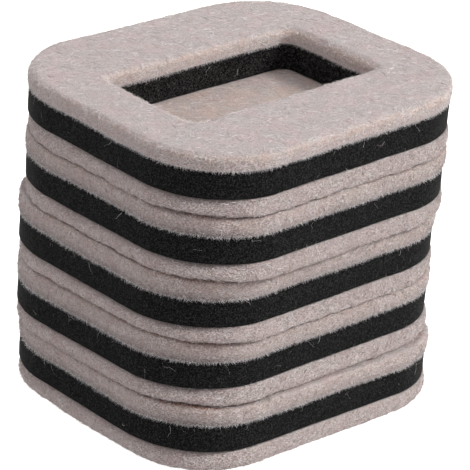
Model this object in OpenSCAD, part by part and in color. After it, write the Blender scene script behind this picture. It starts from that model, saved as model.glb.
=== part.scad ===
// Stack of five loose caster pads. Each pad is a felt base, a foam ring and a felt top ring,
// glued together with thin films. The rings leave a pocket that a furniture wheel stands in.
// The origin is the middle of the bottom pad's underside, X runs along the pads and Z points up.

/* [Pad outline] */
// Length of a pad along X
pad_l = 90; // [84:1:110]
// Width of a pad along Y
pad_w = 75; // [66:1:95]
// Radius of the upright corners
corner_r = 22; // [12:1:30]

/* [Wheel pocket] */
// Length of the pocket along X
pocket_l = 60; // [44:1:64]
// Width of the pocket along Y
pocket_w = 31; // [20:1:44]
// Radius of the pocket's corners
pocket_r = 3.5; // [3:0.5:8]

/* [Layers] */
// Thickness of a felt layer
felt_t = 5; // [4:0.5:8]
// Thickness of the foam ring
foam_t = 6; // [4:0.5:12]
// Thickness of a glue film
film_t = 0.2; // [0.1:0.05:0.4]
// How far a glue film stops short of the foam's edges
film_inset = 0.5; // [0.2:0.1:2]

/* [Felt edges] */
// How far the soft felt edge swells past the foam
belly = 0.2; // [0:0.1:0.8]
// Rounding of the top ring's upper edges, outside and round the pocket
lip_r = 2.2; // [1:0.1:2.5]
// Rounding of the base's lower edge
sole_r = 1; // [0.6:0.1:2]
// Rounding of a felt edge that is glued to the foam
glued_r = 0.4; // [0.2:0.1:0.8]
// Gap between the pocket's wall and the felt that swells up on its floor
seat_gap = 0.6; // [0.3:0.1:2]

/* [Stack] */
// Number of pads in the stack
pad_count = 5; // [1:1:5]
// Second pad from the bottom: shift along X, shift along Y, turn about Z
pad_2_place = [-0.7, 1.2, 1.0]; // [-3:0.1:3]
// Third pad: shift along X, shift along Y, turn about Z
pad_3_place = [-1.6, 0.7, 1.1]; // [-3:0.1:3]
// Fourth pad: shift along X, shift along Y, turn about Z
pad_4_place = [-1.8, -0.6, 1.7]; // [-3:0.1:3]
// Top pad: shift along X, shift along Y, turn about Z
pad_5_place = [-2.2, -0.7, 1.0]; // [-3:0.1:3]

/* [Hidden] */
$fn = 96;
// Steps in a quarter round of a felt edge
edge_steps = 5;
// How far a cutting shape runs past what it cuts
overrun = 1;

pad_t = 2 * felt_t + 2 * film_t + foam_t;
pad_places = [[0, 0, 0], pad_2_place, pad_3_place, pad_4_place, pad_5_place];

// Heights of the layers above a pad's own underside
lower_film_z = felt_t;
foam_z = lower_film_z + film_t;
upper_film_z = foam_z + foam_t;
top_felt_z = upper_film_z + film_t;

felt_colour = "#c2b8b5";
foam_colour = "#262626";
film_colour = "#b9996b";

PIECES = ["base_felt", "lower_film", "foam_ring", "upper_film", "top_felt"];
NODES = [for (k = [1 : pad_count], piece = PIECES) node_name(k, piece)];
node = "all";

function node_name(k, piece) = str("pad_", k, "_", piece);

// Whether a piece of pad k is wanted
function shown(k, piece) = node == "all" || node == node_name(k, piece);

// Points of an arc about a centre, in edge_steps steps
function arc(centre, r, from, to) = [
    for (i = [0 : edge_steps])
        let (a = from + (to - from) * i / edge_steps)
            centre + r * [cos(a), sin(a)]
];

// Edge of a felt layer from its underside to its top, as [offset from the cut outline, height]
function felt_edge(lower_r, upper_r) = concat(
    arc([belly - lower_r, lower_r], lower_r, -90, 0),
    arc([belly - upper_r, felt_t - upper_r], upper_r, 0, 90)
);

// Edge of the cut that opens the top ring's window and rounds its lip
window_edge = concat(
    [[0, -overrun]],
    arc([lip_r, felt_t - lip_r], lip_r, 180, 90),
    [[lip_r, felt_t + overrun]]
);

// Edge points set out from a middle line that lies reach inside the outline
function set_out(edge, reach) = [for (p = edge) [reach + p.x, p.y]];

// The same points on the other side, in the order that closes a section
function mirrored(points) = [for (i = [len(points) - 1 : -1 : 0]) [-points[i].x, points[i].y]];

module section(edge, reach) {
    side = set_out(edge, reach);
    polygon(concat(side, mirrored(side)));
}

module corner_section(edge, r) {
    side = set_out(edge, r);
    polygon(concat([[0, side[0].y]], side, [[0, side[len(side) - 1].y]]));
}

module rounded_rect(l, w, r) {
    square([l, w - 2 * r], center = true);
    square([l - 2 * r, w], center = true);
    for (x = [-1, 1], y = [-1, 1])
        translate([x * (l / 2 - r), y * (w / 2 - r)])
            circle(r);
}

// Layer with a rounded outline whose side follows the edge points: two straight runs that cross,
// and four corners that turn the same edge
module shaped_layer(l, w, r, edge) {
    run_x = l - 2 * r;
    run_y = w - 2 * r;
    rotate([90, 0, 90])
        linear_extrude(run_x, center = true)
            section(edge, w / 2);
    rotate([90, 0, 0])
        linear_extrude(run_y, center = true)
            section(edge, l / 2);
    for (turn = [0 : 90 : 270]) {
        x = (turn == 0 || turn == 270) ? run_x / 2 : -run_x / 2;
        y = turn < 180 ? run_y / 2 : -run_y / 2;
        translate([x, y, 0])
            rotate(turn)
                rotate_extrude(angle = 90)
                    corner_section(edge, r);
    }
}

// Flat ring with the pad's outline and the pocket's opening, drawn in by inset on both edges
module flat_ring(t, inset) {
    linear_extrude(t)
        difference() {
            rounded_rect(pad_l - 2 * inset, pad_w - 2 * inset, corner_r - inset);
            rounded_rect(pocket_l + 2 * inset, pocket_w + 2 * inset, pocket_r + inset);
        }
}

module base_felt() {
    color(felt_colour) {
        shaped_layer(pad_l, pad_w, corner_r, felt_edge(sole_r, glued_r));
        // the felt swells by a film's thickness where no glue holds it down
        linear_extrude(felt_t + film_t)
            rounded_rect(pocket_l - 2 * seat_gap, pocket_w - 2 * seat_gap, pocket_r - seat_gap);
    }
}

module glue_film() {
    color(film_colour)
        flat_ring(film_t, film_inset);
}

module foam_ring() {
    color(foam_colour)
        flat_ring(foam_t, 0);
}

module top_felt() {
    color(felt_colour)
        difference() {
            shaped_layer(pad_l, pad_w, corner_r, felt_edge(glued_r, lip_r));
            shaped_layer(pocket_l, pocket_w, pocket_r, window_edge);
        }
}

// Puts a piece at its height z in pad k, where that pad lies in the stack
module in_pad(k, z) {
    place = pad_places[k - 1];
    translate([place.x, place.y, (k - 1) * pad_t + z])
        rotate(place.z)
            children();
}

for (k = [1 : pad_count]) {
    if (shown(k, "base_felt")) in_pad(k, 0) base_felt();
    if (shown(k, "lower_film")) in_pad(k, lower_film_z) glue_film();
    if (shown(k, "foam_ring")) in_pad(k, foam_z) foam_ring();
    if (shown(k, "upper_film")) in_pad(k, upper_film_z) glue_film();
    if (shown(k, "top_felt")) in_pad(k, top_felt_z) top_felt();
}
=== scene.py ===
import math

import bmesh
import bpy
import numpy as np
from mathutils import Matrix, Vector


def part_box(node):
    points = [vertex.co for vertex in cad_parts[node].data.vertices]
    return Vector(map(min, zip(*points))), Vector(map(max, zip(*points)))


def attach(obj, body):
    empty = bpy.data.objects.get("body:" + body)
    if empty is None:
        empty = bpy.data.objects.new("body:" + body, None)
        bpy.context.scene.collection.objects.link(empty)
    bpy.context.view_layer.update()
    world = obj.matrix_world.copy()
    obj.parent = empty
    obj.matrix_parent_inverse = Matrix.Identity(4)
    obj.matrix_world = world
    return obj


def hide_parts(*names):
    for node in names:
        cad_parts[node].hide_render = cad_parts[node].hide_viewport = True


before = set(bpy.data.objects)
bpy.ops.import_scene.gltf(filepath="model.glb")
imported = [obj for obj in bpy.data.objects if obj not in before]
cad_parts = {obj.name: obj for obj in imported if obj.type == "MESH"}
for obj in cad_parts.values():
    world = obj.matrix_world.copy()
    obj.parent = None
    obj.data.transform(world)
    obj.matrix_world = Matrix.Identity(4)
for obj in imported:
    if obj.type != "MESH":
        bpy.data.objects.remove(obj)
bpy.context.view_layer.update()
print("frame loaded,", len(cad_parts), "nodes")

mm = 0.001

# how the pads are cut and how they lie, bottom pad first
pads = {
    "count": 5,
    "turns": (0.0, 1.0, 1.1, 1.7, 1.0),  # degrees about Z, as the solids lie
    "cornerR": 22.0,
    "pocketL": 60.0,
    "pocketW": 31.0,
    "pocketR": 3.5,
    # how the soft layers of each pad lie: degrees of lean along its length and its width,
    # and mm of twist at its corners
    "leans": ((-0.62, -0.35, -0.24), (0.47, -0.42, 0.21), (0.01, 0.1, -0.3),
              (-0.06, 0.27, -0.2), (0.58, 0.31, -0.44)),
    # mm that each seam between two pads climbs at the -X end, and over the rest of its length
    "seamRise": ((0.5, -0.3), (1.0, -0.2), (0.75, 0.0), (0.4, 0.0)),
    # how far each seam gapes at its ends, as a share of how it gapes at the corners
    "seamGape": (0.0, 0.9, 0.0, 0.0),
    # how far round the -X, +Y corner, as a share of the way to it, the seams begin to close and are shut
    "clinging": (0.4, 0.65),
    # mm inside the outline of the pad above at which an edge is still bare, and from which it is covered
    "covered": (-1.0, -0.3),
    "rim": (0.8, 2.0),     # mm in from the outline where an edge's shades begin to fade, and end
}
# the bottom pad isn't turned, so its box is the cut size
foamLow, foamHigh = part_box("pad_1_foam_ring")
padL = (foamHigh.x - foamLow.x) / mm
padW = (foamHigh.y - foamLow.y) / mm
padT = (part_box("pad_2_base_felt")[0].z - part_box("pad_1_base_felt")[0].z) / mm

# points round an outline, the same on every ring so that rings can be joined
ringSteps = {"corner": 46, "long": 72, "short": 50}
edgeSteps = 5  # points in the rounding of an edge
cornerReach = 0.6  # share of a corner's radius by which a point is wholly in the corner
drawnIn = (0.001, 0.0004)  # mm across a ring that is drawn together to a line, and its corners' radius
weldMm = 0.004  # points closer than this are one
waveShape = {"count": 14, "spread": (0.7, 1.4)}  # waves in a swell, and how their lengths vary


def hexColour(code):
    channels = [int(code[i:i + 2], 16) / 255 for i in (1, 3, 5)]
    return [c / 12.92 if c <= 0.04045 else ((c + 0.055) / 1.055) ** 2.4 for c in channels] + [1.0]


def addNode(tree, kind, inputs=None, **settings):
    node = tree.nodes.new(kind)
    for name, value in settings.items():
        setattr(node, name, value)
    for key, value in (inputs or {}).items():
        if isinstance(value, bpy.types.NodeSocket):
            tree.links.new(value, node.inputs[key])
        else:
            node.inputs[key].default_value = value
    return node


midGrey = (0.5, 0.5, 0.5)  # middle of a noise's colour


def newMaterial(name):
    material = bpy.data.materials.new(name)
    material.use_nodes = True
    material.node_tree.nodes.clear()
    return material, material.node_tree


# camera, matched to the photograph: 470 x 470 pixels
shot = {
    "lookAt": (0.0, 0.0, 40.0),  # mm
    "azimuth": -44.22,     # degrees
    "elevation": 24.41,
    "roll": 5.05,
    "distance": 720.0,     # mm
    "lens": 230.1,
    "sensor": 36.0,
    "shift": (0.0030, -0.0134),
    "clip": (0.05, 20.0),  # m
}


def makeCamera():
    azimuth, elevation = math.radians(shot["azimuth"]), math.radians(shot["elevation"])
    back = Vector((math.sin(azimuth) * math.cos(elevation),
                   -math.cos(azimuth) * math.cos(elevation),
                   math.sin(elevation)))
    right = Vector((math.cos(azimuth), math.sin(azimuth), 0.0))
    up = back.cross(right)
    level = Matrix((right, up, back)).transposed().to_4x4()
    rolled = Matrix.Rotation(math.radians(shot["roll"]), 4, "Z")
    place = (Vector(shot["lookAt"]) + back * shot["distance"]) * mm
    camera = bpy.data.objects.new("camera", bpy.data.cameras.new("camera"))
    camera.matrix_world = Matrix.Translation(place) @ (level @ rolled)
    camera.data.sensor_width = shot["sensor"]
    camera.data.lens = shot["lens"]
    camera.data.shift_x, camera.data.shift_y = shot["shift"]
    camera.data.clip_start, camera.data.clip_end = shot["clip"]
    bpy.context.scene.collection.objects.link(camera)
    bpy.context.scene.camera = camera


# felt
felt = {
    "light": "#bfb7b5",    # faces of the sheet
    "dark": "#928b88",
    "cutLight": "#f6eae6",  # die-cut edges, where the ends of the fibres show
    "cutDark": "#a9948b",
    "tan": "#cbaf9c",      # warm patches
    "blush": "#c29fa0",    # pink clouds
    "seam": "#744014",     # painted brown shade in the crease deep between two pads
    "shade": "#352f2d",    # painted shade on the felt near the glue line
    "streakWide": 0.2,     # mm; a single fibre is finer than the render shows
    "streakLong": 1.6,
    "wander": 5.0,         # mm between the turns of the streaks
    "drift": 2.0,          # mm, how far they turn aside
    "tuft": (0.45, 0.25),   # mm along and across a tuft on a cut edge, drawn coarser than real
    "contrast": (3.6, 7.6),  # of the tufts along the sides, and at the corners, partly a deeper bump and partly painted light and shade of grazing light
    "mottle": 6.0,         # mm across a warm patch
    # levels of a noise from which a tone begins and at which it is full
    "streakSpan": (0.75, 1.25),
    "tanSpan": (0.34, 0.66),
    "blushSpan": (0.4, 0.65),
    "blushMost": 0.3,
    "seamShadeLeast": 0.25,     # share of a seam's painted brown shade that a pale tuft takes
    "bumpMm": 0.35,
    "bumpy": (0.6, 0.7),   # how much of that shows on the faces and on the cut edges
    "roughness": 0.95,
    "gloss": 0.15,
    "sheen": 0.25,
    "sheenRough": 0.5,
}


def needledFelt():
    # needle-punched polyester felt, die-cut: soft streaky faces, tufted pinkish edges, no gloss
    material, tree = newMaterial("needledFelt")
    at = addNode(tree, "ShaderNodeTexCoord").outputs["Object"]
    isCut, isWarm, isSeamShade, isShade, isCorner = [
        addNode(tree, "ShaderNodeAttribute", attribute_name=name).outputs["Fac"]
        for name in ("cut", "warm", "seam", "shade", "corner")]

    # streaks of fibre that wander over the faces, two ways across each other
    wander = addNode(tree, "ShaderNodeTexNoise",
                     {"Vector": at, "Scale": 1 / (felt["wander"] * mm), "Detail": 2.0})
    centred = addNode(tree, "ShaderNodeVectorMath",
                      {0: wander.outputs["Color"], 1: midGrey}, operation="SUBTRACT")
    bent = addNode(tree, "ShaderNodeVectorMath",
                   {0: centred.outputs[0], 1: (felt["drift"] * mm,) * 3, 2: at},
                   operation="MULTIPLY_ADD")
    fine, coarse = 1 / (felt["streakWide"] * mm), 1 / (felt["streakLong"] * mm)
    streaks = []
    for stretch in ((coarse, fine, fine), (fine, coarse, fine)):
        scaled = addNode(tree, "ShaderNodeMapping", {"Vector": bent.outputs[0], "Scale": stretch})
        streaks.append(addNode(tree, "ShaderNodeTexNoise",
                               {"Vector": scaled.outputs[0], "Scale": 1.0, "Detail": 3.0,
                                "Roughness": 0.6}))
    both = addNode(tree, "ShaderNodeMath",
                   {0: streaks[0].outputs["Fac"], 1: streaks[1].outputs["Fac"]}, operation="ADD")
    least, most = felt["streakSpan"]
    flatTone = addNode(tree, "ShaderNodeMapRange",
                       {"Value": both.outputs[0], "From Min": least, "From Max": most})

    # tufts on the cut edges
    wide, high = [1 / (size * mm) for size in felt["tuft"]]
    laid = addNode(tree, "ShaderNodeMapping",
                   {"Vector": bent.outputs[0], "Scale": (wide, wide, high)})
    tufts = addNode(tree, "ShaderNodeTexNoise",
                    {"Vector": laid.outputs[0], "Scale": 1.0, "Detail": 3.0, "Roughness": 0.7})
    # stronger tuft contrast at the corners: partly a deeper bump, partly painted light and shade of
    # grazing light
    contrast = addNode(tree, "ShaderNodeMapRange",
                       {"Value": isCorner, "To Min": felt["contrast"][0], "To Max": felt["contrast"][1]})
    evened = addNode(tree, "ShaderNodeMath", {0: tufts.outputs["Fac"], 1: 0.5}, operation="SUBTRACT")
    cutTone = addNode(tree, "ShaderNodeMath", {0: evened.outputs[0], 1: contrast.outputs[0], 2: 0.5},
                      operation="MULTIPLY_ADD", use_clamp=True)
    tone = addNode(tree, "ShaderNodeMix", {0: isCut, 2: flatTone.outputs[0], 3: cutTone.outputs[0]})
    ends = []
    for flatCode, cutCode in ((felt["dark"], felt["cutDark"]), (felt["light"], felt["cutLight"])):
        ends.append(addNode(tree, "ShaderNodeMix",
                            {0: isCut, 6: hexColour(flatCode), 7: hexColour(cutCode)},
                            data_type="RGBA").outputs[2])
    melange = addNode(tree, "ShaderNodeMix", {0: tone.outputs[0], 6: ends[0], 7: ends[1]},
                      data_type="RGBA")

    # warm patches, then the painted shade near the glue line and the painted brown shade of a seam,
    # which the tufts make ragged
    patches = addNode(tree, "ShaderNodeTexNoise",
                      {"Vector": at, "Scale": 1 / (felt["mottle"] * mm), "Detail": 4.0,
                       "Roughness": 0.65})
    least, most = felt["tanSpan"]
    tanAmount = addNode(tree, "ShaderNodeMapRange",
                        {"Value": patches.outputs["Fac"], "From Min": least, "From Max": most,
                         "To Max": isWarm})
    least, most = felt["blushSpan"]
    pinkAmount = addNode(tree, "ShaderNodeMapRange",
                         {"Value": wander.outputs["Fac"], "From Min": least, "From Max": most,
                          "To Max": felt["blushMost"]})
    pinked = addNode(tree, "ShaderNodeMix",
                     {0: pinkAmount.outputs[0], 6: melange.outputs[2], 7: hexColour(felt["blush"])},
                     data_type="RGBA")
    warmed = addNode(tree, "ShaderNodeMix",
                     {0: tanAmount.outputs[0], 6: pinked.outputs[2], 7: hexColour(felt["tan"])},
                     data_type="RGBA")
    ragged = addNode(tree, "ShaderNodeMapRange",
                     {"Value": cutTone.outputs[0], "To Min": 1.0, "To Max": felt["seamShadeLeast"]})
    # the seam's painted brown shade, broken up by the tufts
    seamShadeAmount = addNode(tree, "ShaderNodeMath", {0: isSeamShade, 1: ragged.outputs[0]},
                         operation="MULTIPLY")
    # painted shade near the glue line
    shaded = addNode(tree, "ShaderNodeMix",
                     {0: isShade, 6: warmed.outputs[2], 7: hexColour(felt["shade"])}, data_type="RGBA")
    colour = addNode(tree, "ShaderNodeMix",
                     {0: seamShadeAmount.outputs[0], 6: shaded.outputs[2], 7: hexColour(felt["seam"])},
                     data_type="RGBA")
    bumpy = addNode(tree, "ShaderNodeMapRange",
                    {"Value": isCut, "To Min": felt["bumpy"][0], "To Max": felt["bumpy"][1]})
    bump = addNode(tree, "ShaderNodeBump",
                   {"Height": tone.outputs[0], "Distance": felt["bumpMm"] * mm,
                    "Strength": bumpy.outputs[0]})
    skin = addNode(tree, "ShaderNodeBsdfPrincipled",
                   {"Base Color": colour.outputs[2], "Roughness": felt["roughness"],
                    "Specular IOR Level": felt["gloss"], "Sheen Weight": felt["sheen"],
                    "Sheen Roughness": felt["sheenRough"], "Normal": bump.outputs[0]})
    addNode(tree, "ShaderNodeOutputMaterial", {"Surface": skin.outputs[0]})
    return material


# foam
foam = {
    "dark": "#050505",
    "light": "#373736",   # thin cell walls that stand in the light
    "pocketSpeckLight": "#5e5a58",    # pale specks on the walls of the pocket, like the foam's own grain: painted light that brightens the walls
    "pocketSpeckLit": 0.3,
    "pocketSpeckLitFrom": (5.0, 10.0),  # mm inside the pad's outline
    "cell": 0.22,         # mm across a cut cell, drawn coarser than real
    "clump": 2,           # cells across a paler patch
    "toneSpan": (0.2, 0.62),  # levels of the noise that are dark and light
    "bumpMm": 0.1,
    "bumpy": 0.6,
    "roughness": 0.85,
    "gloss": 0.06,
}


def cellFoam():
    # closed-cell foam, die-cut: matt black, speckled by the thin walls of the cells that were cut open
    material, tree = newMaterial("cellFoam")
    at = addNode(tree, "ShaderNodeTexCoord").outputs["Object"]
    cells = addNode(tree, "ShaderNodeTexVoronoi", {"Vector": at, "Scale": 1 / (foam["cell"] * mm)})
    apart = addNode(tree, "ShaderNodeSeparateColor", {0: cells.outputs["Color"]})
    grain = addNode(tree, "ShaderNodeTexNoise",
                    {"Vector": at, "Scale": 1 / (foam["clump"] * foam["cell"] * mm), "Detail": 3.0,
                     "Roughness": 0.7})
    mixed = addNode(tree, "ShaderNodeMath", {0: apart.outputs[0], 1: grain.outputs["Fac"]},
                    operation="MULTIPLY")
    least, most = foam["toneSpan"]
    tone = addNode(tree, "ShaderNodeMapRange",
                   {"Value": mixed.outputs[0], "From Min": least, "From Max": most})
    colour = addNode(tree, "ShaderNodeMix",
                     {0: tone.outputs[0], 6: hexColour(foam["dark"]), 7: hexColour(foam["light"])},
                     data_type="RGBA")
    # pale specks on the pocket's walls: painted light that brightens them
    pocketSpeckLit = addNode(tree, "ShaderNodeAttribute", attribute_name="pocketSpeckLit")
    specks = addNode(tree, "ShaderNodeMath", {0: pocketSpeckLit.outputs["Fac"], 1: tone.outputs[0]},
                     operation="MULTIPLY")
    pocketLitColour = addNode(tree, "ShaderNodeMix",
                     {0: specks.outputs[0], 6: colour.outputs[2], 7: hexColour(foam["pocketSpeckLight"])},
                     data_type="RGBA")
    bump = addNode(tree, "ShaderNodeBump",
                   {"Height": mixed.outputs[0], "Distance": foam["bumpMm"] * mm,
                    "Strength": foam["bumpy"]})
    skin = addNode(tree, "ShaderNodeBsdfPrincipled",
                   {"Base Color": pocketLitColour.outputs[2], "Roughness": foam["roughness"],
                    "Specular IOR Level": foam["gloss"], "Normal": bump.outputs[0]})
    addNode(tree, "ShaderNodeOutputMaterial", {"Surface": skin.outputs[0]})
    return material


# glue film
film = {
    "thin": "#8f664a",
    "thick": "#5c3a28",
    "streak": 4.0,      # mm between spread marks
    "smear": 1.5,       # how far they are drawn out
    "roughness": (0.3, 0.6),  # where it is thin and where it is thick
    "inset": 1.0,       # mm from the edges of the foam
    "bands": 3,
}


def glueFilm():
    # hot-melt adhesive film: amber, smeared by the roller that spread it, satin
    material, tree = newMaterial("glueFilm")
    at = addNode(tree, "ShaderNodeTexCoord").outputs["Object"]
    smear = addNode(tree, "ShaderNodeTexNoise",
                    {"Vector": at, "Scale": 1 / (film["streak"] * mm), "Detail": 5.0,
                     "Distortion": film["smear"]})
    colour = addNode(tree, "ShaderNodeMix",
                     {0: smear.outputs["Fac"], 6: hexColour(film["thin"]), 7: hexColour(film["thick"])},
                     data_type="RGBA")
    thin, thick = film["roughness"]
    rough = addNode(tree, "ShaderNodeMapRange",
                    {"Value": smear.outputs["Fac"], "To Min": thin, "To Max": thick})
    skin = addNode(tree, "ShaderNodeBsdfPrincipled",
                   {"Base Color": colour.outputs[2], "Roughness": rough.outputs[0]})
    addNode(tree, "ShaderNodeOutputMaterial", {"Surface": skin.outputs[0]})
    return material


# loose fibres; a felt or foam mesh says where they grow, how long and which way
fibres = {
    "tones": ((0.0, "#978579"), (0.3, "#c0b1aa"), (0.65, "#ede5e1"), (1.0, "#ffffff")),
    "rootShade": 0.75,      # how dark a fibre is at its root, a painted shade
    "roughness": 0.8,
    "gloss": 0.2,
    "sheen": 0.2,
    # fibres for each square mm, length in mm, slope, the least of the tones that they take, and
    # radius in mm at the root, coarser than real so that they show
    "flat": (1.8, 2.2, 0.05, 0.25, 0.04),    # on the faces
    "cut": (11.0, 1.1, 0.35, 0.0, 0.05),      # on the cut edges
    "fringe": (20.0, 0.95, 0.8, 0.7, 0.032),  # where a top ring's lower edge hangs over the foam
    "fringeHigh": (1.2, 0.6),  # mm that the fringe reaches up, and over which it ends
    "fringeComb": (0.3, -0.8),  # pull outward and upward on it
    "sizes": (0.45, 1.3),  # shares of the length that the shortest and the longest have
    "slant": 0.75,         # how far a fibre on a cut edge may run up and down
    "clump": 0.45,         # mm across a tuft of fibres of one tone
    "alike": 0.55,         # how far the fibres of a tuft share it
    "gaps": 0.45,          # level of the tufts' noise below which no fibre grows
    "palest": 0.65,        # and the one at which they are palest
    "gapsFrom": (0.3, 0.7),  # share of cut edge from which there are gaps, and at which all are there
    "seamBare": 0.6,       # share of the fibres that are missing deep between two pads and near the glue line, where shade is painted
    "girths": (0.7, 1.6),  # least share of the radius, and how much more a fibre has that stands up
    "stoutPower": 4.0,     # how few of them stand up enough for that
    "swayWide": 2.5,       # mm between the turns of a bent fibre
    "mapAcross": 0.004,    # share of the map that a fibre's width takes
    "mapSpan": (0.02, 0.98),
    "bend": 0.0,
    "segments": 1,
    "seed": 1,
}
lint = {
    "density": 0.006,
    "long": 3.5,
    "thick": 0.02,
    "bend": 5.0,
    "segments": 8,
    "seed": 8,
    # hairs that hang from the felt over the foam, in bunches: for each square mm, mm long and mm
    # between bunches
    "hang": (0.8, 1.8, 12.0),
    "hangFrom": (0.8, 0.3),  # mm below the top of the foam from which they begin and are all there
    "bunch": (0.2, 0.6),   # levels of the bunches' swell for the same
    "bunchSeed": 300,
    "rise": (0.05, 0.3),   # slope of a loose hair, and how much more a hanging one has
    "pale": (0.3, 0.5),    # the same for the least of the tones
    "droop": -1.5,         # pull upward on a hanging hair
}


def feltFibre():
    # single polyester fibres that stand out of the felt: dull, each of its own tone, with painted shade
    # at the root
    material, tree = newMaterial("feltFibre")
    own = addNode(tree, "ShaderNodeAttribute", attribute_name="fibreTone")
    along = addNode(tree, "ShaderNodeAttribute", attribute_name="fibreAlong")
    ramp = addNode(tree, "ShaderNodeValToRGB", {0: own.outputs["Fac"]})
    stops = ramp.color_ramp.elements
    for place, _ in fibres["tones"][1:-1]:
        stops.new(place)
    for stop, (_, code) in zip(stops, fibres["tones"]):
        stop.color = hexColour(code)
    # painted shade towards each fibre's root
    light = addNode(tree, "ShaderNodeMapRange",
                    {"Value": along.outputs["Fac"], "To Min": fibres["rootShade"], "To Max": 1.0})
    colour = addNode(tree, "ShaderNodeVectorMath", {0: ramp.outputs[0], "Scale": light.outputs[0]},
                     operation="SCALE")
    skin = addNode(tree, "ShaderNodeBsdfPrincipled",
                   {"Base Color": colour.outputs[0], "Roughness": fibres["roughness"],
                    "Specular IOR Level": fibres["gloss"], "Sheen Weight": fibres["sheen"]})
    addNode(tree, "ShaderNodeOutputMaterial", {"Surface": skin.outputs[0]})
    return material


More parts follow.
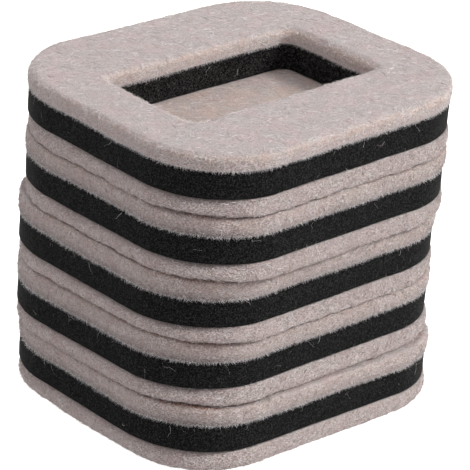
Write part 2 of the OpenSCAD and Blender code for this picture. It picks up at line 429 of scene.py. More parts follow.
def fibreTree():
    tree = bpy.data.node_groups.new("fibreTree", "GeometryNodeTree")
    face = tree.interface
    face.new_socket("Geometry", in_out="INPUT", socket_type="NodeSocketGeometry")
    face.new_socket("Bend", in_out="INPUT", socket_type="NodeSocketFloat")
    for name in ("Segments", "Seed"):
        face.new_socket(name, in_out="INPUT", socket_type="NodeSocketInt")
    face.new_socket("Material", in_out="INPUT", socket_type="NodeSocketMaterial")
    face.new_socket("Geometry", in_out="OUTPUT", socket_type="NodeSocketGeometry")
    given = addNode(tree, "NodeGroupInput").outputs
    said = {}
    for name, kind in (("fuzz", "FLOAT"), ("reach", "FLOAT"), ("rise", "FLOAT"), ("pale", "FLOAT"),
                       ("girth", "FLOAT"), ("gaps", "FLOAT"), ("comb", "FLOAT_VECTOR")):
        said[name] = addNode(tree, "GeometryNodeInputNamedAttribute", {"Name": name},
                             data_type=kind).outputs[0]
    drawn = {}
    spans = (("size", fibres["sizes"]), ("stand", (0.0, 1.0)), ("tone", (0.0, 1.0)))
    for step, (name, (low, high)) in enumerate(spans, 1):
        ownSeed = addNode(tree, "FunctionNodeIntegerMath", {0: given["Seed"], 1: step}, operation="ADD")
        drawn[name] = addNode(tree, "FunctionNodeRandomValue",
                              {2: low, 3: high, "Seed": ownSeed.outputs[0]},
                              data_type="FLOAT").outputs[1]

    # roots, and a random way along the surface, combed down at the fringe, lifted a little
    roots = addNode(tree, "GeometryNodeDistributePointsOnFaces",
                    {"Mesh": given["Geometry"], "Density": said["fuzz"], "Seed": given["Seed"]})
    normal = roots.outputs["Normal"]
    way = addNode(tree, "FunctionNodeRandomValue",
                  {0: (-1.0, -1.0, -1.0), 1: (1.0, 1.0, 1.0), "Seed": given["Seed"]},
                  data_type="FLOAT_VECTOR")
    along = addNode(tree, "ShaderNodeVectorMath", {0: way.outputs[0], 1: normal},
                    operation="DOT_PRODUCT")
    into = addNode(tree, "ShaderNodeVectorMath", {0: normal, "Scale": along.outputs["Value"]},
                   operation="SCALE")
    flat = addNode(tree, "ShaderNodeVectorMath", {0: way.outputs[0], 1: into.outputs[0]},
                   operation="SUBTRACT")
    level = addNode(tree, "ShaderNodeVectorMath", {0: flat.outputs[0]}, operation="NORMALIZE")
    # the fibres of a sheet lie mostly along it, so on its cut edges they run level too
    combed = addNode(tree, "ShaderNodeVectorMath",
                     {0: level.outputs[0], 1: (1.0, 1.0, fibres["slant"]), 2: said["comb"]},
                     operation="MULTIPLY_ADD")
    lift = addNode(tree, "ShaderNodeMath", {0: said["rise"], 1: drawn["stand"]}, operation="MULTIPLY")
    up = addNode(tree, "ShaderNodeVectorMath", {0: normal, "Scale": lift.outputs[0]},
                 operation="SCALE")
    aim = addNode(tree, "ShaderNodeVectorMath", {0: combed.outputs[0], 1: up.outputs[0]},
                  operation="ADD")
    turned = addNode(tree, "FunctionNodeAlignRotationToVector", {"Vector": aim.outputs[0]}, axis="Z")

    # one fibre: a thin three-sided spike, one unit long
    spike = addNode(tree, "GeometryNodeMeshCone",
                    {"Vertices": 3, "Side Segments": given["Segments"], "Radius Top": 0.0,
                     "Radius Bottom": 1.0, "Depth": 1.0})
    where = addNode(tree, "GeometryNodeInputPosition").outputs[0]
    place = addNode(tree, "ShaderNodeSeparateXYZ", {0: where})
    marked = spike.outputs["Mesh"]
    for name, axis in (("fibreAcross", "X"), ("fibreAlong", "Z")):
        marked = addNode(tree, "GeometryNodeStoreNamedAttribute",
                         {"Geometry": marked, "Name": name, "Value": place.outputs[axis]},
                         data_type="FLOAT", domain="POINT").outputs[0]
    length = addNode(tree, "ShaderNodeMath", {0: said["reach"], 1: drawn["size"]},
                     operation="MULTIPLY")
    upright = addNode(tree, "ShaderNodeMath", {0: drawn["stand"], 1: fibres["stoutPower"]},
                      operation="POWER")
    least, more = fibres["girths"]
    stout = addNode(tree, "ShaderNodeMath", {0: upright.outputs[0], 1: more, 2: least},
                    operation="MULTIPLY_ADD")
    girth = addNode(tree, "ShaderNodeMath", {0: said["girth"], 1: stout.outputs[0]},
                    operation="MULTIPLY").outputs[0]
    shape = addNode(tree, "ShaderNodeCombineXYZ", {0: girth, 1: girth, 2: length.outputs[0]})
    clumps = addNode(tree, "ShaderNodeTexNoise",
                     {"Vector": where, "Scale": 1 / (fibres["clump"] * mm), "Detail": 1.0})
    tufted = addNode(tree, "FunctionNodeCompare", {0: clumps.outputs["Fac"], 1: said["gaps"]},
                     data_type="FLOAT", operation="GREATER_THAN")
    grown = addNode(tree, "GeometryNodeInstanceOnPoints",
                    {"Points": roots.outputs["Points"], "Selection": tufted.outputs[0],
                     "Instance": marked, "Rotation": turned.outputs[0], "Scale": shape.outputs[0]})
    shared = addNode(tree, "ShaderNodeMapRange",
                     {"Value": clumps.outputs["Fac"], "From Min": fibres["gaps"],
                      "From Max": fibres["palest"]})
    mixed = addNode(tree, "ShaderNodeMix", {0: fibres["alike"], 2: drawn["tone"], 3: shared.outputs[0]})
    tone = addNode(tree, "ShaderNodeMapRange",
                   {"Value": mixed.outputs[0], "To Min": said["pale"], "To Max": 1.0})
    toned = addNode(tree, "GeometryNodeStoreNamedAttribute",
                    {"Geometry": grown.outputs[0], "Name": "fibreTone", "Value": tone.outputs[0]},
                    data_type="FLOAT", domain="INSTANCE")
    real = addNode(tree, "GeometryNodeRealizeInstances", {"Geometry": toned.outputs[0]})

    # bend each fibre towards its tip
    tip, side, own = [
        addNode(tree, "GeometryNodeInputNamedAttribute", {"Name": name}, data_type="FLOAT").outputs[0]
        for name in ("fibreAlong", "fibreAcross", "fibreTone")]
    sway = addNode(tree, "ShaderNodeTexNoise",
                   {"Vector": where, "Scale": 1 / (fibres["swayWide"] * mm), "Detail": 1.0})
    middle = addNode(tree, "ShaderNodeVectorMath", {0: sway.outputs["Color"], 1: midGrey},
                     operation="SUBTRACT")
    tipBend = addNode(tree, "ShaderNodeMath", {0: tip, 1: given["Bend"]}, operation="MULTIPLY")
    offset = addNode(tree, "ShaderNodeVectorMath", {0: middle.outputs[0], "Scale": tipBend.outputs[0]},
                     operation="SCALE")
    bent = addNode(tree, "GeometryNodeSetPosition",
                   {"Geometry": real.outputs[0], "Offset": offset.outputs[0]})

    # fibres that would reach into the floor lie flat on it
    above = addNode(tree, "ShaderNodeMath", {0: place.outputs["Z"], 1: 0.0}, operation="MAXIMUM")
    kept = addNode(tree, "ShaderNodeCombineXYZ",
                   {0: place.outputs["X"], 1: place.outputs["Y"], 2: above.outputs[0]})
    laid = addNode(tree, "GeometryNodeSetPosition",
                   {"Geometry": bent.outputs[0], "Position": kept.outputs[0]})

    # a map for each fibre: its tone across, its length up, so fibres of one tone share their place
    across = addNode(tree, "ShaderNodeMath", {0: side, 1: fibres["mapAcross"], 2: own},
                     operation="MULTIPLY_ADD")
    least, most = fibres["mapSpan"]
    inside = addNode(tree, "ShaderNodeMapRange",
                     {"Value": across.outputs[0], "To Min": least, "To Max": most})
    spot = addNode(tree, "ShaderNodeCombineXYZ", {0: inside.outputs[0], 1: tip})
    mapped = addNode(tree, "GeometryNodeStoreNamedAttribute",
                     {"Geometry": laid.outputs[0], "Name": "OFBake", "Value": spot.outputs[0]},
                     data_type="FLOAT2", domain="CORNER")
    dressed = addNode(tree, "GeometryNodeSetMaterial",
                      {"Geometry": mapped.outputs[0], "Material": given["Material"]})
    addNode(tree, "NodeGroupOutput", {"Geometry": dressed.outputs[0]})
    return tree


def growFibres(name, ground, tree, wanted, seed, material):
    holder = bpy.data.objects.new(name + "_ground", ground.data.copy())
    bpy.context.scene.collection.objects.link(holder)
    modifier = holder.modifiers.new("fibres", "NODES")
    modifier.node_group = tree
    values = {"Bend": wanted["bend"] * mm, "Segments": wanted["segments"], "Seed": seed,
              "Material": material}
    for item in tree.interface.items_tree:
        if item.in_out == "INPUT" and item.name in values:
            modifier[item.identifier] = values[item.name]
    shown = holder.evaluated_get(bpy.context.evaluated_depsgraph_get())
    mesh = bpy.data.meshes.new_from_object(shown)
    holder.modifiers.remove(modifier)
    groundMesh = holder.data
    bpy.data.objects.remove(holder)
    bpy.data.meshes.remove(groundMesh)
    mesh.name = name
    piece = bpy.data.objects.new(name, mesh)
    bpy.context.scene.collection.objects.link(piece)
    return piece


# rings and lofts, in mm from the middle of a pad's underside
def outline(length, width, radius):
    points = []
    halfL, halfW = length / 2 - radius, width / 2 - radius
    corners = ((halfL, halfW), (-halfL, halfW), (-halfL, -halfW), (halfL, -halfW))
    for i, (x, y) in enumerate(corners):
        for step in range(ringSteps["corner"]):
            angle = math.pi / 2 * (i + step / ringSteps["corner"])
            points.append((x + radius * math.cos(angle), y + radius * math.sin(angle)))
        nextX, nextY = corners[(i + 1) % 4]
        angle = math.pi / 2 * (i + 1)
        across, ahead = radius * math.cos(angle), radius * math.sin(angle)
        run = ringSteps["long"] if i % 2 == 0 else ringSteps["short"]
        for step in range(run):
            share = step / run
            points.append((x + (nextX - x) * share + across, y + (nextY - y) * share + ahead))
    return np.array(points)


def atHeight(points, z):
    return np.column_stack([points, np.full(len(points), z)])


def outerRing(offset, z):
    return atHeight(outline(padL + 2 * offset, padW + 2 * offset, pads["cornerR"] + offset), z)


def pocketRing(offset, z):
    length, width = pads["pocketL"] + 2 * offset, pads["pocketW"] + 2 * offset
    return atHeight(outline(length, width, pads["pocketR"] + offset), z)


def lineRing(length, z):
    # a ring drawn together to a line along X, where a face closes
    width, radius = drawnIn
    return atHeight(outline(length + width, width, radius), z)


def between(first, last, count):
    return [first + (last - first) * i / (count + 1) for i in range(1, count + 1)]


def eased(first, last, count):
    # closer together at both ends, so that a rounding stays crisp where a face begins
    shares = [0.5 - 0.5 * math.cos(math.pi * i / (count + 1)) for i in range(1, count + 1)]
    return [first + (last - first) * share for share in shares]


def roundEdge(lowR, highR, bulge, thick):
    # edge of a layer from its underside to its top, as (offset from the cut line, height)
    points = []
    for x, z, radius, start in ((-lowR, lowR, lowR, -90), (-highR, thick - highR, highR, 0)):
        for step in range(edgeSteps + 1):
            angle = math.radians(start + 90 * step / edgeSteps)
            points.append((x + radius * math.cos(angle), z + radius * math.sin(angle)))
    points = filled(points, 2 * edgeSteps)
    return [(x + bulge * 4 * z / thick * (1 - z / thick), z) for x, z in points]


def filled(points, count):
    # splits the straight run between the two roundings of an edge
    low, high = np.array(points[edgeSteps]), np.array(points[edgeSteps + 1])
    run = [tuple(point) for point in between(low, high, count)]
    return points[:edgeSteps + 1] + run + points[edgeSteps + 1:]


def pastStraight(points):
    # how far a point lies past the straight part of a pad's sides, and of its ends
    return (np.abs(points[:, 0]) - (padL / 2 - pads["cornerR"]),
            np.abs(points[:, 1]) - (padW / 2 - pads["cornerR"]))


def nearCorners(points):
    # 1 at the middle of each rounded corner of a pad, 0 along its straight sides
    return smoothStep(np.minimum(*pastStraight(points)), 0, cornerReach * pads["cornerR"])


def nearEnds(points):
    # 1 along the two ends of a pad, 0 along its sides
    return (np.clip(pastStraight(points)[0], 0, None) / pads["cornerR"]) ** 2


def towardsEnd(along):
    # 0 up to a quarter of a pad's length from its middle, 1 at its end
    return smoothStep(along, padL / 4, padL / 2)


def closedCorner(points):
    # 1 at the -X, +Y corner, where the felts of two pads cling and their seam closes
    across = np.maximum(-points[:, 0], 0) * np.maximum(points[:, 1], 0) / (padL / 2 * padW / 2)
    return smoothStep(across, *pads["clinging"])


def insideBy(points):
    # how far a point lies inside a pad's cut outline
    fromX, fromY = pastStraight(points)
    outer = np.hypot(np.maximum(fromX, 0), np.maximum(fromY, 0))
    return pads["cornerR"] - (outer + np.minimum(np.maximum(fromX, fromY), 0))


def nearRim(points, depths):
    # 1 from a pad's cut outline to the first depth, 0 from the second one inward
    full, none = depths
    return smoothStep(-insideBy(points), -none, -full)


def loft(name, rings, closed):
    count = len(rings[0])
    bm = bmesh.new()
    rows = [[bm.verts.new(p) for p in ring] for ring in rings]
    last = len(rows) if closed else len(rows) - 1
    for r in range(last):
        here, there = rows[r], rows[(r + 1) % len(rows)]
        for i in range(count):
            j = (i + 1) % count
            bm.faces.new((here[i], here[j], there[j], there[i]))
    bmesh.ops.remove_doubles(bm, verts=bm.verts, dist=weldMm)
    bmesh.ops.recalc_face_normals(bm, faces=bm.faces)
    mesh = bpy.data.meshes.new(name)
    bm.to_mesh(mesh)
    bm.free()
    mesh.polygons.foreach_set("use_smooth", [True] * len(mesh.polygons))
    return mesh


def readVectors(mesh, what):
    values = np.zeros(len(mesh.vertices) * 3, np.float32)
    if what == "normal":
        mesh.vertex_normals.foreach_get("vector", values)
    else:
        mesh.vertices.foreach_get("co", values)
    return values.reshape(-1, 3).astype(float)


def movePoints(mesh, points):
    mesh.vertices.foreach_set("co", points.astype(np.float32).ravel())
    mesh.update()


def seedOf(piece, k):
    return 10 * k + piece["seed"]


def waves(points, wide, seed):
    # smooth random swell, about -1 to 1, with crests about wide apart
    rng = np.random.default_rng(seed)
    total = np.zeros(len(points))
    for _ in range(waveShape["count"]):
        way = rng.normal(size=3)
        way *= 2 * math.pi / wide * rng.uniform(*waveShape["spread"]) / np.linalg.norm(way)
        total += np.sin(points @ way + rng.uniform(0, 2 * math.pi))
    return total / math.sqrt(waveShape["count"])


def smoothStep(value, low, high):
    share = np.clip((value - low) / (high - low), 0, 1)
    return share * share * (3 - 2 * share)


def storeFloats(mesh, name, values):
    layer = mesh.attributes.new(name, "FLOAT", "POINT")
    layer.data.foreach_set("value", np.asarray(values, np.float32))


def storeVectors(mesh, name, values):
    layer = mesh.attributes.new(name, "FLOAT_VECTOR", "POINT")
    layer.data.foreach_set("vector", np.asarray(values, np.float32).ravel())


def padPlace(k):
    low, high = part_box(f"pad_{k}_foam_ring")
    baseLow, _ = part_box(f"pad_{k}_base_felt")
    middle = (low + high) / 2
    turned = Matrix.Rotation(math.radians(pads["turns"][k - 1]), 4, "Z")
    return Matrix.Translation((middle.x, middle.y, baseLow.z)) @ turned


def addPiece(name, mesh, k, material):
    slump(mesh, k)
    mesh.transform(padPlace(k) @ Matrix.Scale(mm, 4))
    mesh.materials.append(material)
    piece = bpy.data.objects.new(name, mesh)
    bpy.context.scene.collection.objects.link(piece)
    return piece


def layerSpan(k, node):
    # heights of a layer above its pad's underside, in mm
    low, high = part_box(f"pad_{k}_{node}")
    base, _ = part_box(f"pad_{k}_base_felt")
    return (low.z - base.z) / mm, (high.z - base.z) / mm


# mm of swell and mm between its crests, three times over
feltSwell = (0.1, 20.0, 0.05, 7.0, 0.035, 1.6)

topFelt = {
    "belly": 0.25,         # mm past the foam
    "thick": 4.92,
    "freeThick": 4.4,      # the top pad's
    "gluedR": 0.7,         # rounding of the lower edges
    "freeR": (1.9, 1.0),   # rounding of the top pad's upper edge along its sides and at its ends
    "pressedR": (0.5, 1.2),  # and of one that another pad lies on, along its sides and at its corners
    "lipR": 2.2,           # rounding of the lip round the pocket
    "lipBelly": 0.1,
    "topBands": 16,
    "underBands": 4,
    "seamShadeHigh": 1.0,       # mm of painted brown shade below the seam with the pad above
    "seamShadeTone": (0.4, 0.75, 1.3),  # how deep that painted shade is along the sides, at the ends and at the corners
    "shadeHigh": 2.9,       # mm of painted shade up from the glue line
    "shadeTone": (0.36, 0.66, 0.85),  # how deep it is in the same three places
    "warmth": (0.1, 0.25, 0.4),  # most tan on the faces, the sides and the shoulder
    "freeWarmth": (0.1, 0.2, 0.85),
    "shoulder": (1.5, 3.2),  # mm above the glue where the shoulder begins and is full
    "endCooler": 0.5,      # how much less tan the shoulder is at the ends
    "freePaler": 0.35,     # how much paler the top pad's loose cut fibres are
    "swell": feltSwell,
    "seed": 0,
}
baseFelt = {
    "belly": 0.25,
    "thick": 4.8,
    "lift": 0.05,          # mm that the sole stands off what is below it
    "soleR": (0.4, 1.0),   # rounding of the sole along the sides and at the corners
    "floorR": (0.8, 2.6),  # the bottom pad's along its sides and at its ends, where the floor wears it
    "gluedR": 0.15,
    # mm that the glued edge draws in under the foam at the -X end, over what height, and how much
    # less of it there is on the +Y side
    "tuck": (1.3, 3.2, 0.45),
    "spread": (0.45, 0.6, 0.0, 0.2, 0.0),  # mm that each pad's base swells at the +X end
    "floor": 4.85,         # height of the pocket's floor, where no glue holds the felt down
    "glueEdge": 0.4,       # mm outside the pocket where the glue ends
    "floorRise": (0.5, 2.5),  # mm inside the pocket where the floor begins to rise, and halfway up
    "underBands": 12,
    "gluedBands": 3,
    "floorBands": 10,
    "seamShadeHigh": 0.85,      # mm of painted brown shade above the seam with the pad below
    "shadeHigh": 3.0,       # mm of painted shade down from the glue line
    "shadeTone": (0.2, 0.25, 0.55),
    "firstShade": 0.5,     # share of it on the bottom pad
    "floorShade": 0.25,    # share of the seams' painted brown shade on the pocket's floor, as painted shade of the recess
    "warmth": (0.5, 0.06),  # most tan on the pocket's floor, partly its own tan and partly painted warm shade of the recess, and on the sides
    "soleFuzz": 0.3,       # share of a face's fibres on the sole
    "rim": (0.3, 0.9),     # mm in from the outline that the cut edge's fibres reach on the glued face
    "swell": feltSwell,
    "seed": 5,
}
foamRing = {
    "edgeR": 0.2,
    "droop": (0.3, 1.0),  # mm that its lower edges hang past the film, and how far in and up that fades
    "flatBands": 4,
    "swell": (0.06, 22.0, 0.03, 7.0, 0.015, 2.5),
    "seed": 8,
}
# Z of the normal from which a surface begins to count as one, and at which it wholly does
facing = {
    "level": (0.6, 0.95),
    "glued": (0.7, 0.9),
    "flat": (0.45, 0.9),
    "lying": (0.7, 0.98),
    "above": (0.5, 0.8),
    "beneath": (0.6, 0.9),
    "tilted": (0.3, 0.6),
}
# where the crests of a swell are cut off, how much of it the level faces have, and how far they sink
swelling = {"crest": 1.6, "onLevel": 0.5, "sink": 0.25}


def swell(mesh, wanted, seed):
    # uneven thickness and edges; faces that meet another layer mostly go inward
    points, normals = readVectors(mesh, "co"), readVectors(mesh, "normal")
    crest = swelling["crest"]
    total = np.zeros(len(points))
    for i in range(0, len(wanted), 2):
        total += wanted[i] * np.clip(waves(points, wanted[i + 1], seed + i), -crest, crest)
    most = crest * sum(wanted[::2])
    level = smoothStep(np.abs(normals[:, 2]), *facing["level"])
    total = total * (1 - swelling["onLevel"] * level) - level * swelling["sink"] * most
    movePoints(mesh, points + normals * total[:, None])


leastShare = 0.001  # keeps bare ground from dividing by nothing


def sayFibres(mesh, flat, cut, fringe, paler=0.0):
    # shares of the three kinds of ground at each point, from 0 to 1, and how much paler the cut
    # edges are
    columns = (("fuzz", 1 / mm ** 2), ("reach", mm), ("rise", 1), ("pale", 1), ("girth", mm))
    for column, (name, unit) in enumerate(columns):
        total = sum(share * fibres[kind][column] * unit
                    for share, kind in ((flat, "flat"), (cut, "cut"), (fringe, "fringe")))
        if name != "fuzz":
            total = total / np.maximum(flat + cut + fringe, leastShare)
        if name == "pale":
            total += paler * cut
        storeFloats(mesh, name, total)
    storeFloats(mesh, "gaps", fibres["gaps"] * smoothStep(cut, *fibres["gapsFrom"]))


# mm that a seam between two pads wavers, mm between its crests, and how deep into each felt that goes
seamWaver = {"mm": 0.12, "wide": 6.0, "deep": 4.6, "seed": 1000}


def slump(mesh, k):
    # the loose pads don't lie dead level: a lean at the middle of each pad fades into the next one's
    points = readVectors(mesh, "co")
    leans = np.array(((0.0, 0.0, 0.0),) + pads["leans"] + pads["leans"][-1:])
    leans[:, :2] = np.tan(np.radians(leans[:, :2]))
    share = points[:, 2] / padT - 0.5
    below, above = np.clip(-share, 0, 1)[:, None], np.clip(share, 0, 1)[:, None]
    if k == 1:
        below *= 2  # down to the level floor
    lean = leans[k] * (1 - below - above) + leans[k - 1] * below + leans[k + 1] * above
    x, y, z = points.T.copy()
    points[:, 2] += (np.column_stack([x, y, 4 * x * y / (padL * padW)]) * lean).sum(1)
    # the felts give unevenly where two pads meet, so each seam climbs towards one end and wavers
    place = np.array(padPlace(k))
    line = np.column_stack([x, y, 0 * z]) @ place[:3, :3].T + place[:3, 3] / mm
    line[:, 2] = 0
    for seam, apart in ((k - 1, z), (k, padT - z)):
        if 0 < seam < pads["count"]:
            end, rest = pads["seamRise"][seam - 1]
            rise = rest + (end - rest) * towardsEnd(-line[:, 0])
            rise += seamWaver["mm"] * waves(line, seamWaver["wide"], seamWaver["seed"] + seam)
            points[:, 2] += rise * (1 - smoothStep(apart, 0, seamWaver["deep"]))
    movePoints(mesh, points)


# how unevenly an edge is rounded, where it is pressed and where it is free, mm between the changes,
# and how far past its two profiles it may go
seamWave = {"pressed": 0.35, "free": 0.1, "wide": 14.0, "fine": 2.5, "span": (-0.6, 1.6)}


def edgeRings(sides, low, seed, free, gape):
    # rings up the side of a felt; its profile changes at the ends of a free edge, and at the corners
    # of a pressed one
    straight, turned = [[outerRing(x, low + z) for x, z in side] for side in sides]
    line = outerRing(0.0, 0.0)
    share = nearEnds(line)
    if not free:
        share = np.maximum(nearCorners(line), gape * share) * (1 - closedCorner(line))
    uneven = waves(line, seamWave["wide"], seed) + waves(line, seamWave["fine"], seed + 1)
    share = share + seamWave["free" if free else "pressed"] * uneven
    share = np.clip(share, *seamWave["span"])[:, None]
    return [a * (1 - share) + b * share for a, b in zip(straight, turned)]


def byPlace(points, amounts, gape=0.0):
    # an amount along the sides, at the ends and at the corners of a pad
    side, end, corner = amounts
    end += (corner - end) * gape
    return np.maximum(np.maximum(side, end * nearEnds(points)), corner * nearCorners(points))


def gapeAt(seam):
    return pads["seamGape"][seam - 1] if 0 < seam < pads["count"] else 0.0


def coveredBy(other, k, points):
    # 1 where another pad lies over a point of pad k, 0 where the point sticks out past it
    move = np.array(padPlace(other).inverted() @ padPlace(k))
    return smoothStep(insideBy(points @ move[:3, :3].T + move[:3, 3] / mm), *pads["covered"])


def makeTopFelt(k, material):
    low, _ = layerSpan(k, "top_felt")
    seed = seedOf(topFelt, k)
    free = k == pads["count"]
    thick = topFelt["freeThick" if free else "thick"]
    sides = [roundEdge(topFelt["gluedR"], radius, topFelt["belly"], thick)
             for radius in topFelt["freeR" if free else "pressedR"]]
    lip = roundEdge(topFelt["gluedR"], topFelt["lipR"], topFelt["lipBelly"], thick)[::-1]
    rings = edgeRings(sides, low, seed, free, gapeAt(k))
    lipRings = [pocketRing(-x, low + z) for x, z in lip]
    rings += eased(rings[-1], lipRings[0], topFelt["topBands"]) + lipRings
    rings += between(lipRings[-1], rings[0], topFelt["underBands"])
    mesh = loft(f"pad_{k}_top_felt_soft", rings, True)
    swell(mesh, topFelt["swell"], 10 * seed)
    points, normals = readVectors(mesh, "co"), readVectors(mesh, "normal")
    glued = smoothStep(-normals[:, 2], *facing["glued"])
    flat = smoothStep(normals[:, 2], *facing["flat"])
    lying = smoothStep(normals[:, 2], *facing["lying"])
    reach, fade = fibres["fringeHigh"]
    fringe = smoothStep(low + reach - points[:, 2], 0, fade) * (1 - glued)
    outside = nearRim(points, pads["rim"])
    top = low + thick
    # painted brown shade in the crease under the pad above
    seam = smoothStep(points[:, 2], top - topFelt["seamShadeHigh"], top) * outside
    seam *= byPlace(points, topFelt["seamShadeTone"], gapeAt(k)) * (1 - closedCorner(points))
    seam *= 0 if free else coveredBy(k + 1, k, points)
    # painted shade on the lower edge, up from the glue line
    glueLineShade = smoothStep(low + topFelt["shadeHigh"] - points[:, 2], 0, topFelt["shadeHigh"]) * outside
    shade = glueLineShade * byPlace(points, topFelt["shadeTone"]) * (not free)
    bare = 1 - fibres["seamBare"] * np.maximum(seam, shade)
    sayFibres(mesh, lying * bare, (1 - lying) * (1 - fringe) * (1 - glued) * bare, fringe,
              topFelt["freePaler"] * free)
    outward, upward = fibres["fringeComb"]
    comb = np.column_stack([normals[:, :2] * outward, np.full(len(points), upward)])
    storeVectors(mesh, "comb", comb * fringe[:, None])
    start, full = topFelt["shoulder"]
    shoulder = smoothStep(points[:, 2], low + start, low + full) * (1 - flat)
    faces, sides, most = topFelt["freeWarmth" if free else "warmth"]
    shoulder *= 1 - topFelt["endCooler"] * nearEnds(points)
    storeFloats(mesh, "warm", faces * flat + (1 - flat) * sides + shoulder * (most - sides))
    storeFloats(mesh, "cut", 1 - flat)
    storeFloats(mesh, "corner", nearCorners(points))
    storeFloats(mesh, "seam", seam)
    storeFloats(mesh, "shade", shade)
    return addPiece(mesh.name, mesh, k, material)


def makeBaseFelt(k, material):
    bottom, glued = baseFelt["lift"], baseFelt["thick"]
    seed = seedOf(baseFelt, k)
    sides = [roundEdge(radius, baseFelt["gluedR"], baseFelt["belly"], glued - bottom)
             for radius in baseFelt["floorR" if k == 1 else "soleR"]]
    rings = edgeRings(sides, bottom, seed, k == 1, gapeAt(k - 1))
    # drawn in under the foam at one end, swollen at the other
    inward, high, less = baseFelt["tuck"]
    line = outerRing(0.0, 0.0)
    outward = outerRing(1.0, 0.0) - line
    along = line[:, :1]
    far = smoothStep(line[:, 1:2], 0, padW / 2)
    drawn = np.maximum(towardsEnd(-along), far * smoothStep(-along, 0, padL / 4))
    pull = inward * (1 - less * far) * drawn
    push = baseFelt["spread"][k - 1] * towardsEnd(along)
    for ring in rings:
        up = (ring[:, 2:] - bottom) / (glued - bottom)
        tucked = np.clip(1 - (glued - ring[:, 2:]) / (high * (1 + far)), 0, 1) ** (2 - 2 * far)
        ring += outward * (push * 4 * up * (1 - up) - pull * tucked)
    under = lineRing(padL - padW, bottom)
    rings = [under] + between(under, rings[0], baseFelt["underBands"]) + rings
    edge = pocketRing(baseFelt["glueEdge"], glued)
    rings += between(rings[-1], edge, baseFelt["gluedBands"]) + [edge]
    start, halfway = baseFelt["floorRise"]
    rings += [pocketRing(-start, glued), pocketRing(-halfway, (glued + baseFelt["floor"]) / 2)]
    middle = lineRing(pads["pocketL"] - pads["pocketW"], baseFelt["floor"])
    rings += between(rings[-1], middle, baseFelt["floorBands"]) + [middle]
    mesh = loft(f"pad_{k}_base_felt_soft", rings, False)
    swell(mesh, baseFelt["swell"], 10 * seed)
    points, normals = readVectors(mesh, "co"), readVectors(mesh, "normal")
    inLength = np.abs(points[:, 0]) < pads["pocketL"] / 2
    inPocket = inLength & (np.abs(points[:, 1]) < pads["pocketW"] / 2)
    above = smoothStep(normals[:, 2], *facing["above"])
    beneath = smoothStep(-normals[:, 2], *facing["beneath"])
    rim = above * nearRim(points, baseFelt["rim"])
    # painted brown shade in the crease over the pad below
    seam = smoothStep(bottom + baseFelt["seamShadeHigh"] - points[:, 2], 0, baseFelt["seamShadeHigh"])
    seam *= byPlace(points, topFelt["seamShadeTone"], gapeAt(k - 1)) * (1 - closedCorner(points))
    seam *= k > 1
    # painted shade under the foam, down from the glue line
    glueLineShade = smoothStep(points[:, 2], glued - baseFelt["shadeHigh"], glued)
    glueLineShade *= nearRim(points, pads["rim"])
    shade = glueLineShade * byPlace(points, baseFelt["shadeTone"])
    shade *= baseFelt["firstShade"] if k == 1 else 1.0
    bare = 1 - fibres["seamBare"] * np.maximum(seam, shade)
    sayFibres(mesh, above * inPocket + baseFelt["soleFuzz"] * beneath,
              (1 - above) * (1 - beneath) * bare + rim, np.zeros(len(points)))
    storeVectors(mesh, "comb", np.zeros((len(points), 3)))
    # the pocket's floor is tan, partly its own colour and partly painted warm shade of the recess
    floor, sides = baseFelt["warmth"]
    storeFloats(mesh, "warm", np.where(inPocket, floor, sides))
    storeFloats(mesh, "cut", 1 - np.maximum(above, beneath))
    storeFloats(mesh, "corner", nearCorners(points))
    # the pocket's floor takes part of the seams' painted brown shade, as painted shade of the recess
    storeFloats(mesh, "seam", np.where(inPocket, baseFelt["floorShade"], seam))
    storeFloats(mesh, "shade", np.where(inPocket, 0.0, shade))
    return addPiece(mesh.name, mesh, k, material)


def makeFoamRing(k, material):
    low, high = layerSpan(k, "foam_ring")
    droop, fade = foamRing["droop"]
    side = roundEdge(foamRing["edgeR"], foamRing["edgeR"], 0.0, high - low)
    rings = [outerRing(x, low + z) for x, z in side]
    inner = [pocketRing(-x, low + z) for x, z in side[::-1]]
    for ring in rings + inner:
        held = smoothStep(-ring[:, 0], 0, padL / 2) * (k == 1)
        ring[:, 2] -= droop * np.clip(1 - (ring[:, 2] - low) / fade, 0, 1) * (1 - held)
    under = [pocketRing(fade, low), outerRing(-fade, low)]
    rings += between(rings[-1], inner[0], foamRing["flatBands"]) + inner
    rings += under[:1] + between(*under, foamRing["flatBands"]) + under[1:]
    mesh = loft(f"pad_{k}_foam_ring_soft", rings, True)
    swell(mesh, foamRing["swell"], 10 * seedOf(foamRing, k))
    points, normals = readVectors(mesh, "co"), readVectors(mesh, "normal")
    # painted light on the pocket's walls, laid on as pale specks
    storeFloats(mesh, "pocketSpeckLit", foam["pocketSpeckLit"] * smoothStep(insideBy(points), *foam["pocketSpeckLitFrom"]))
    upright = 1 - smoothStep(np.abs(normals[:, 2]), *facing["tilted"])
    density, long, apart = lint["hang"]
    start, full = lint["hangFrom"]
    hang = smoothStep(points[:, 2], high - start, high - full)
    hang *= smoothStep(waves(points, apart, lint["bunchSeed"] + k), *lint["bunch"])
    storeFloats(mesh, "fuzz", upright * (lint["density"] + density * hang) / mm ** 2)
    storeFloats(mesh, "reach", (lint["long"] + (long - lint["long"]) * hang) * mm)
    for name in ("rise", "pale"):
        loose, more = lint[name]
        storeFloats(mesh, name, loose + more * hang)
    storeFloats(mesh, "girth", np.full(len(normals), lint["thick"] * mm))
    storeFloats(mesh, "gaps", np.zeros(len(normals)))
    storeVectors(mesh, "comb", np.outer(hang, (0.0, 0.0, lint["droop"])))
    return addPiece(mesh.name, mesh, k, material)


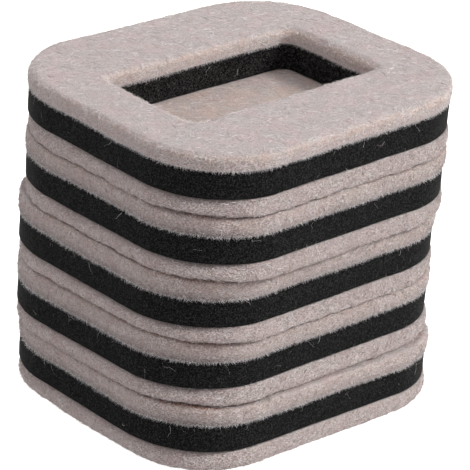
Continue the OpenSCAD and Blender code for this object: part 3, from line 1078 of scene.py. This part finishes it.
# film, a flat ring drawn in from the edges of the foam
def makeFilm(k, node, material):
    low, high = layerSpan(k, node)
    rings = []
    for ring, z in ((outerRing, low), (outerRing, high), (pocketRing, high), (pocketRing, low)):
        rings.append(ring(film["inset"] * (1 if ring is pocketRing else -1), z))
    bands = []
    for here, there in zip(rings, rings[1:] + rings[:1]):
        bands += [here] + between(here, there, film["bands"])
    mesh = loft(f"pad_{k}_{node}_skin", bands, True)
    return addPiece(mesh.name, mesh, k, material)


# floor and light
studio = {
    "floor": "#f4f3f1",
    "floorGlow": 1.0,
    "floorRough": 0.9,
    "floorSize": 6.0,      # m from its middle to its edges
    "skyTone": "#fdfbff",
    "sky": 0.735,          # strength of the light from above and, bounced, from below
    "ground": 0.51,
    "horizon": 0.4,        # height of the band, up and down, in which one fades into the other
    "key": 19.2,
    "keySize": 0.5,
    "keyAt": (0.72, -0.85, 1.0),
    "top": 2.6,
    "topSize": 1.0,
    "topAt": (0.1, 0.1, 1.4),
    "aim": (0.0, 0.0, 0.04),
}


def makeStudio():
    size = studio["floorSize"]
    corners = [(-size, -size, 0), (size, -size, 0), (size, size, 0), (-size, size, 0)]
    mesh = bpy.data.meshes.new("floor")
    mesh.from_pydata(corners, [], [(0, 1, 2, 3)])
    floor = bpy.data.objects.new("floor", mesh)
    material, tree = newMaterial("seamlessPaper")
    skin = addNode(tree, "ShaderNodeBsdfPrincipled",
                   {"Base Color": hexColour(studio["floor"]), "Roughness": studio["floorRough"],
                    "Emission Color": hexColour(studio["floor"]),
                    "Emission Strength": studio["floorGlow"]})
    addNode(tree, "ShaderNodeOutputMaterial", {"Surface": skin.outputs[0]})
    mesh.materials.append(material)
    floor.visible_diffuse = False  # the white floor doesn't flood the sides with light
    bpy.context.scene.collection.objects.link(floor)
    for name in ("key", "top"):
        light = bpy.data.lights.new(name, "AREA")
        light.energy = studio[name]
        light.size = studio[name + "Size"]
        lamp = bpy.data.objects.new(name, light)
        lamp.location = studio[name + "At"]
        ahead = Vector(studio["aim"]) - lamp.location
        lamp.rotation_euler = ahead.to_track_quat("-Z", "Y").to_euler()
        bpy.context.scene.collection.objects.link(lamp)
    world = bpy.data.worlds.new("studio")
    world.use_nodes = True
    tree = world.node_tree
    tree.nodes.clear()
    look = addNode(tree, "ShaderNodeTexCoord").outputs["Generated"]
    way = addNode(tree, "ShaderNodeSeparateXYZ", {0: look})
    strength = addNode(tree, "ShaderNodeMapRange",
                       {"Value": way.outputs["Z"],
                        "From Min": -studio["horizon"], "From Max": studio["horizon"],
                        "To Min": studio["ground"], "To Max": studio["sky"]})
    glow = addNode(tree, "ShaderNodeBackground",
                   {"Color": hexColour(studio["skyTone"]), "Strength": strength.outputs[0]})
    addNode(tree, "ShaderNodeOutputWorld", {"Surface": glow.outputs[0]})
    bpy.context.scene.world = world
    bpy.context.scene.view_settings.view_transform = "Standard"


makeCamera()
makeStudio()
print("camera and studio made")

feltSkin, foamSkin, filmSkin, fibreSkin = needledFelt(), cellFoam(), glueFilm(), feltFibre()
growth = fibreTree()
print("materials made")

for k in range(1, pads["count"] + 1):
    body = f"pad_{k}"
    makers = (("base_felt", "felt", makeBaseFelt, feltSkin, fibres),
              ("foam_ring", "foam", makeFoamRing, foamSkin, lint),
              ("top_felt", "felt", makeTopFelt, feltSkin, fibres))
    for node, slot, make, skin, wanted in makers:
        piece = make(k, skin)
        fuzz = growFibres(f"{body}_{node}_fibres", piece, growth, wanted, seedOf(wanted, k), fibreSkin)
        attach(piece, body)
        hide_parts(f"{body}_{node}")
        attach(fuzz, body)
        print(piece.name, len(piece.data.polygons), "faces,", fuzz.name, len(fuzz.data.polygons))
    for node in ("lower_film", "upper_film"):
        skin = makeFilm(k, node, filmSkin)
        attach(skin, body)
        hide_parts(f"{body}_{node}")
